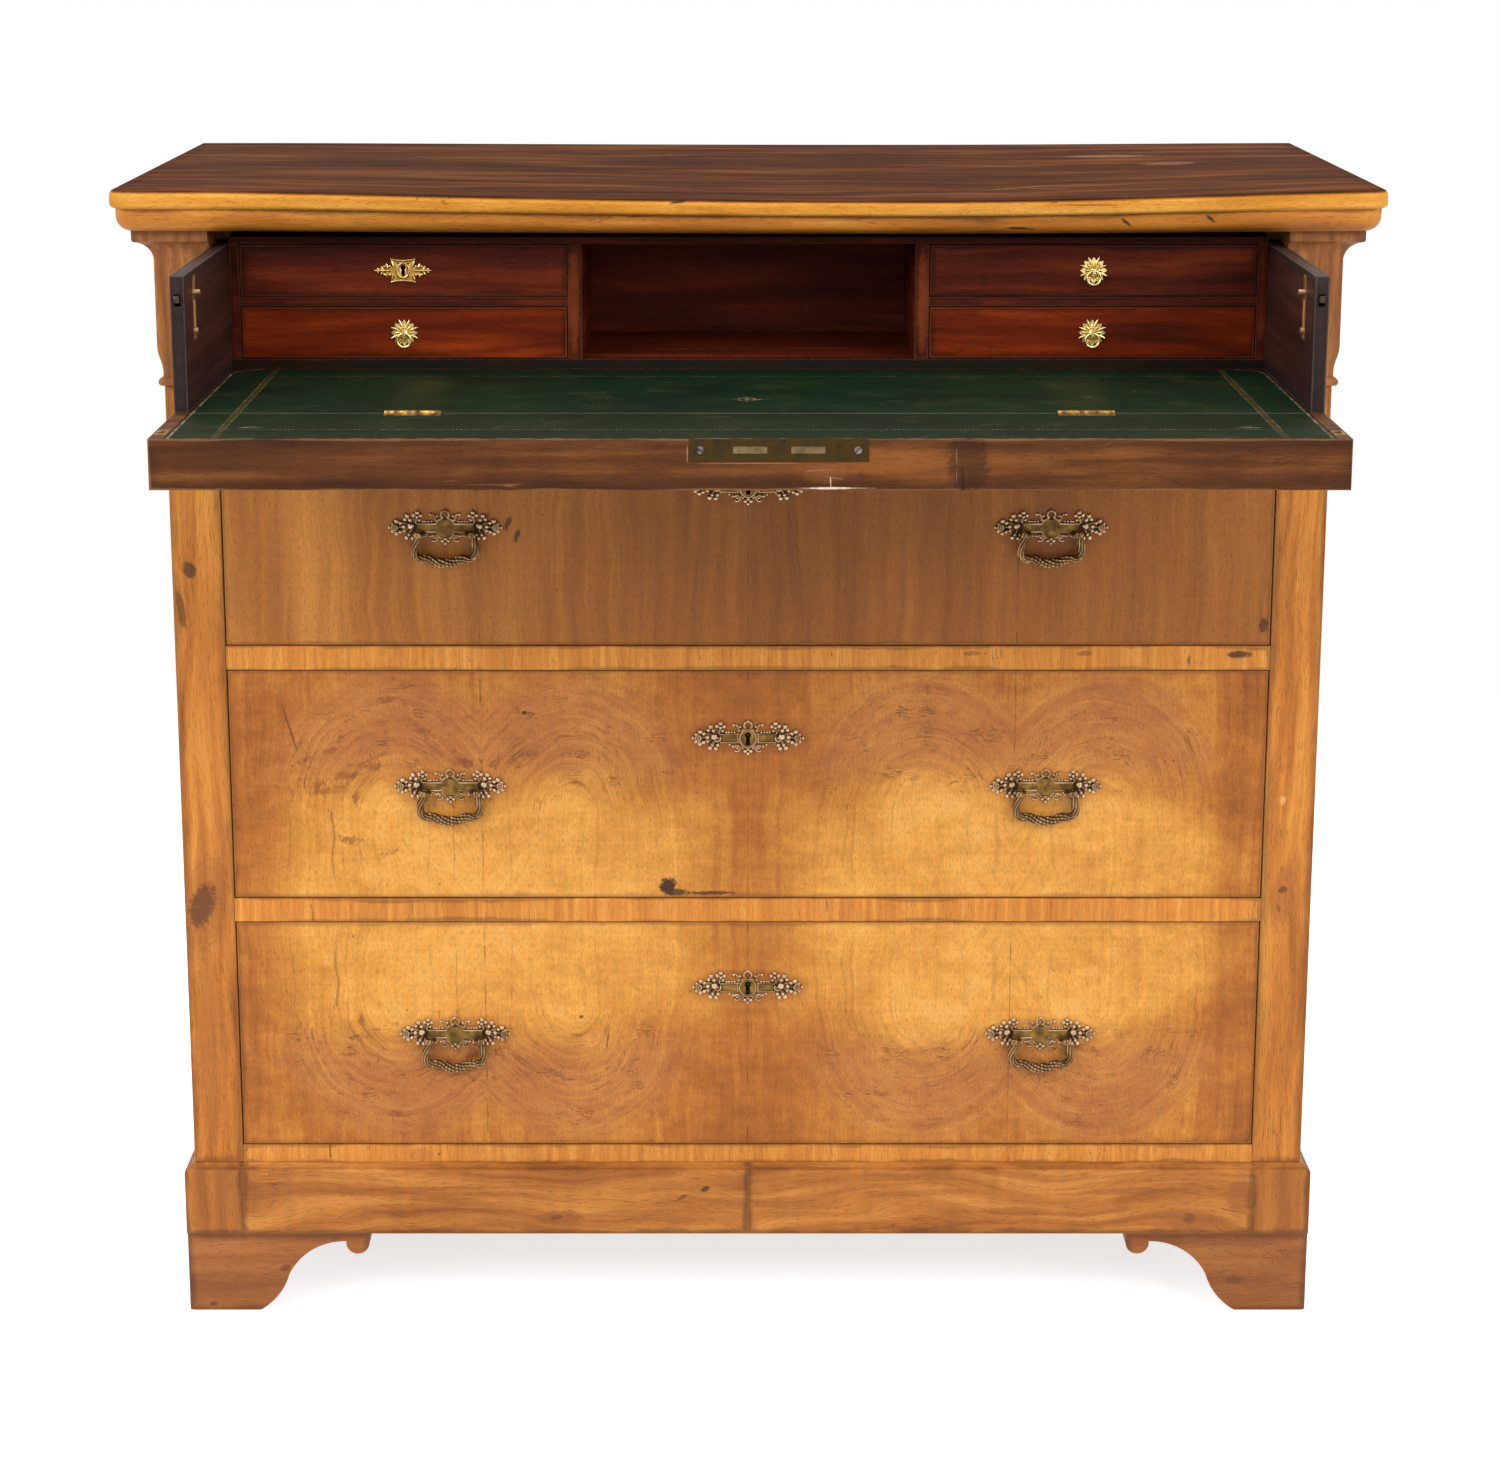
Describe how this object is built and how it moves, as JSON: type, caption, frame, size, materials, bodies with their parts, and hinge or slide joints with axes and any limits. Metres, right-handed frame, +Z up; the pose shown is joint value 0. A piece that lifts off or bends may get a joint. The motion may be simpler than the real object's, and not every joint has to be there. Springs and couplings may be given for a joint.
{
  "type": "secretaire chest",
  "caption": "Walnut chest with three long drawers under a pull-out writing drawer, whose front falls open as a desk before a nest of small drawers, on bracket feet.",
  "frame": {"origin": "middle of the box on the floor, below the chest with its writing drawer out and its fall open", "axes": "+Z up, +X to the right seen from the front, the front faces -Y"},
  "size_m": [1.097, 0.8054, 1.04],
  "materials": {
    "case_walnut": "polished walnut veneer, honey amber",
    "frieze_walnut": "polished walnut cross-banding",
    "top_walnut": "dark polished walnut, fine scratches",
    "rail_walnut": "cross-grained walnut veneer",
    "front_walnut": "book-matched figured walnut veneer",
    "plinth_walnut": "polished walnut veneer",
    "foot_walnut": "worn polished walnut",
    "fall_walnut": "figured walnut, reddish brown",
    "lining_pine": "bare pine, aged",
    "drawer_oak": "bare oak, waxed by wear",
    "dark_mahogany": "dark polished mahogany",
    "nest_mahogany": "red polished mahogany",
    "desk_leather": "dark green leather with gold tooling",
    "cast_brass": "cast brass, antique, dark in its hollows",
    "bail_brass": "cast brass, antique, rubbed bright",
    "gilt_brass": "gilt brass, bright",
    "hinge_brass": "drawn brass, rubbed bright",
    "lock_brass": "lock brass, dulled",
    "bolt_brass": "pale brass, rubbed bright"
  },
  "bodies": {
    "root": {"side_panel_left": "case_walnut", "side_panel_right": "case_walnut", "stiles": "case_walnut", "frieze_left": "frieze_walnut", "frieze_right": "frieze_walnut", "back_boards": "lining_pine", "bottom_board": "lining_pine", "drawer_rails": "rail_walnut", "drawer_runners": "lining_pine", "drawer_stops": "lining_pine", "top_board": "top_walnut", "top_moulding": "case_walnut", "plinth_boards": "plinth_walnut", "plinth_corner_blocks": "plinth_walnut", "feet_front": "foot_walnut", "feet_back": "foot_walnut"},
    "writing_drawer": {"writing_board": "dark_mahogany", "writing_leather": "desk_leather", "writing_drawer_box": "dark_mahogany", "writing_hinge_leaves": "hinge_brass", "catch_plates": "hinge_brass", "nest_frame": "nest_mahogany"},
    "catch_left": {"catch_left": "hinge_brass"},
    "catch_right": {"catch_right": "hinge_brass"},
    "fall": {"fall_board": "fall_walnut", "fall_leather": "desk_leather", "fall_hinge_leaves": "hinge_brass", "fall_lock": "lock_brass", "fall_keepers": "hinge_brass", "fall_escutcheon": "cast_brass"},
    "fall_bolts": {"fall_lock_bolts": "bolt_brass"},
    "drawer_1": {"drawer_1_front": "front_walnut", "drawer_1_box": "drawer_oak", "drawer_1_mounts": "cast_brass"},
    "drawer_1_bolt": {"drawer_1_bolt": "bolt_brass"},
    "drawer_1_bail_left": {"drawer_1_bail_left": "bail_brass"},
    "drawer_1_bail_right": {"drawer_1_bail_right": "bail_brass"},
    "drawer_2": {"drawer_2_front": "front_walnut", "drawer_2_box": "drawer_oak", "drawer_2_mounts": "cast_brass"},
    "drawer_2_bolt": {"drawer_2_bolt": "bolt_brass"},
    "drawer_2_bail_left": {"drawer_2_bail_left": "bail_brass"},
    "drawer_2_bail_right": {"drawer_2_bail_right": "bail_brass"},
    "drawer_3": {"drawer_3_front": "front_walnut", "drawer_3_box": "drawer_oak", "drawer_3_mounts": "cast_brass"},
    "drawer_3_bolt": {"drawer_3_bolt": "bolt_brass"},
    "drawer_3_bail_left": {"drawer_3_bail_left": "bail_brass"},
    "drawer_3_bail_right": {"drawer_3_bail_right": "bail_brass"},
    "nest_drawer_lower_left": {"nest_drawer_lower_left": "nest_mahogany", "nest_drawer_lower_left_rosette": "gilt_brass"},
    "nest_drawer_lower_left_ring": {"nest_drawer_lower_left_ring": "gilt_brass"},
    "nest_drawer_lower_right": {"nest_drawer_lower_right": "nest_mahogany", "nest_drawer_lower_right_rosette": "gilt_brass"},
    "nest_drawer_lower_right_ring": {"nest_drawer_lower_right_ring": "gilt_brass"},
    "nest_drawer_upper_left": {"nest_drawer_upper_left": "nest_mahogany", "nest_drawer_upper_left_escutcheon": "gilt_brass"},
    "nest_drawer_upper_right": {"nest_drawer_upper_right": "nest_mahogany", "nest_drawer_upper_right_rosette": "gilt_brass"},
    "nest_drawer_upper_right_ring": {"nest_drawer_upper_right_ring": "gilt_brass"}
  },
  "joints": [
    {"name": "writing_drawer_slide", "type": "slide", "parent": "root", "child": "writing_drawer", "axis": [0, -1, 0], "range_m": [-0.2425, 0]},
    {"name": "fall_hinge", "type": "hinge", "parent": "writing_drawer", "child": "fall", "pos_m": [0, -0.28075, 0.8793], "axis": [-1, 0, 0], "range_deg": [0, 90]},
    {"name": "fall_bolt_slide", "type": "slide", "parent": "fall", "child": "fall_bolts", "axis": [0, -1, 0], "range_m": [0, 0.008]},
    {"name": "catch_left_slide", "type": "slide", "parent": "writing_drawer", "child": "catch_left", "axis": [0, 0, -1], "range_m": [0, 0.003], "stiffness_N_per_m": 300, "springref_m": -0.002},
    {"name": "catch_right_slide", "type": "slide", "parent": "writing_drawer", "child": "catch_right", "axis": [0, 0, -1], "range_m": [0, 0.003], "stiffness_N_per_m": 300, "springref_m": -0.002},
    {"name": "drawer_1_slide", "type": "slide", "parent": "root", "child": "drawer_1", "axis": [0, -1, 0], "range_m": [0, 0.29]},
    {"name": "drawer_1_bolt_slide", "type": "slide", "parent": "drawer_1", "child": "drawer_1_bolt", "axis": [0, 0, 1], "range_m": [0, 0.008]},
    {"name": "drawer_1_bail_left_hinge", "type": "hinge", "parent": "drawer_1", "child": "drawer_1_bail_left", "pos_m": [-0.2673, -0.06395, 0.734], "axis": [-1, 0, 0], "range_deg": [0, 85]},
    {"name": "drawer_1_bail_right_hinge", "type": "hinge", "parent": "drawer_1", "child": "drawer_1_bail_right", "pos_m": [0.2673, -0.06395, 0.734], "axis": [-1, 0, 0], "range_deg": [0, 85]},
    {"name": "drawer_2_slide", "type": "slide", "parent": "root", "child": "drawer_2", "axis": [0, -1, 0], "range_m": [0, 0.29]},
    {"name": "drawer_2_bolt_slide", "type": "slide", "parent": "drawer_2", "child": "drawer_2_bolt", "axis": [0, 0, 1], "range_m": [0, 0.008]},
    {"name": "drawer_2_bail_left_hinge", "type": "hinge", "parent": "drawer_2", "child": "drawer_2_bail_left", "pos_m": [-0.2673, -0.06395, 0.497], "axis": [-1, 0, 0], "range_deg": [0, 85]},
    {"name": "drawer_2_bail_right_hinge", "type": "hinge", "parent": "drawer_2", "child": "drawer_2_bail_right", "pos_m": [0.2673, -0.06395, 0.497], "axis": [-1, 0, 0], "range_deg": [0, 85]},
    {"name": "drawer_3_slide", "type": "slide", "parent": "root", "child": "drawer_3", "axis": [0, -1, 0], "range_m": [0, 0.29]},
    {"name": "drawer_3_bolt_slide", "type": "slide", "parent": "drawer_3", "child": "drawer_3_bolt", "axis": [0, 0, 1], "range_m": [0, 0.008]},
    {"name": "drawer_3_bail_left_hinge", "type": "hinge", "parent": "drawer_3", "child": "drawer_3_bail_left", "pos_m": [-0.2673, -0.06395, 0.262], "axis": [-1, 0, 0], "range_deg": [0, 85]},
    {"name": "drawer_3_bail_right_hinge", "type": "hinge", "parent": "drawer_3", "child": "drawer_3_bail_right", "pos_m": [0.2673, -0.06395, 0.262], "axis": [-1, 0, 0], "range_deg": [0, 85]},
    {"name": "nest_drawer_lower_left_slide", "type": "slide", "parent": "writing_drawer", "child": "nest_drawer_lower_left", "axis": [0, -1, 0], "range_m": [0, 0.15]},
    {"name": "nest_drawer_lower_left_ring_hinge", "type": "hinge", "parent": "nest_drawer_lower_left", "child": "nest_drawer_lower_left_ring", "pos_m": [-0.30035, -0.05305, 0.9118], "axis": [-1, 0, 0], "range_deg": [0, 80]},
    {"name": "nest_drawer_lower_right_slide", "type": "slide", "parent": "writing_drawer", "child": "nest_drawer_lower_right", "axis": [0, -1, 0], "range_m": [0, 0.15]},
    {"name": "nest_drawer_lower_right_ring_hinge", "type": "hinge", "parent": "nest_drawer_lower_right", "child": "nest_drawer_lower_right_ring", "pos_m": [0.30035, -0.05305, 0.9118], "axis": [-1, 0, 0], "range_deg": [0, 80]},
    {"name": "nest_drawer_upper_left_slide", "type": "slide", "parent": "writing_drawer", "child": "nest_drawer_upper_left", "axis": [0, -1, 0], "range_m": [0, 0.15]},
    {"name": "nest_drawer_upper_right_slide", "type": "slide", "parent": "writing_drawer", "child": "nest_drawer_upper_right", "axis": [0, -1, 0], "range_m": [0, 0.15]},
    {"name": "nest_drawer_upper_right_ring_hinge", "type": "hinge", "parent": "nest_drawer_upper_right", "child": "nest_drawer_upper_right_ring", "pos_m": [0.30035, -0.05305, 0.9664], "axis": [-1, 0, 0], "range_deg": [0, 80]}
  ]
}
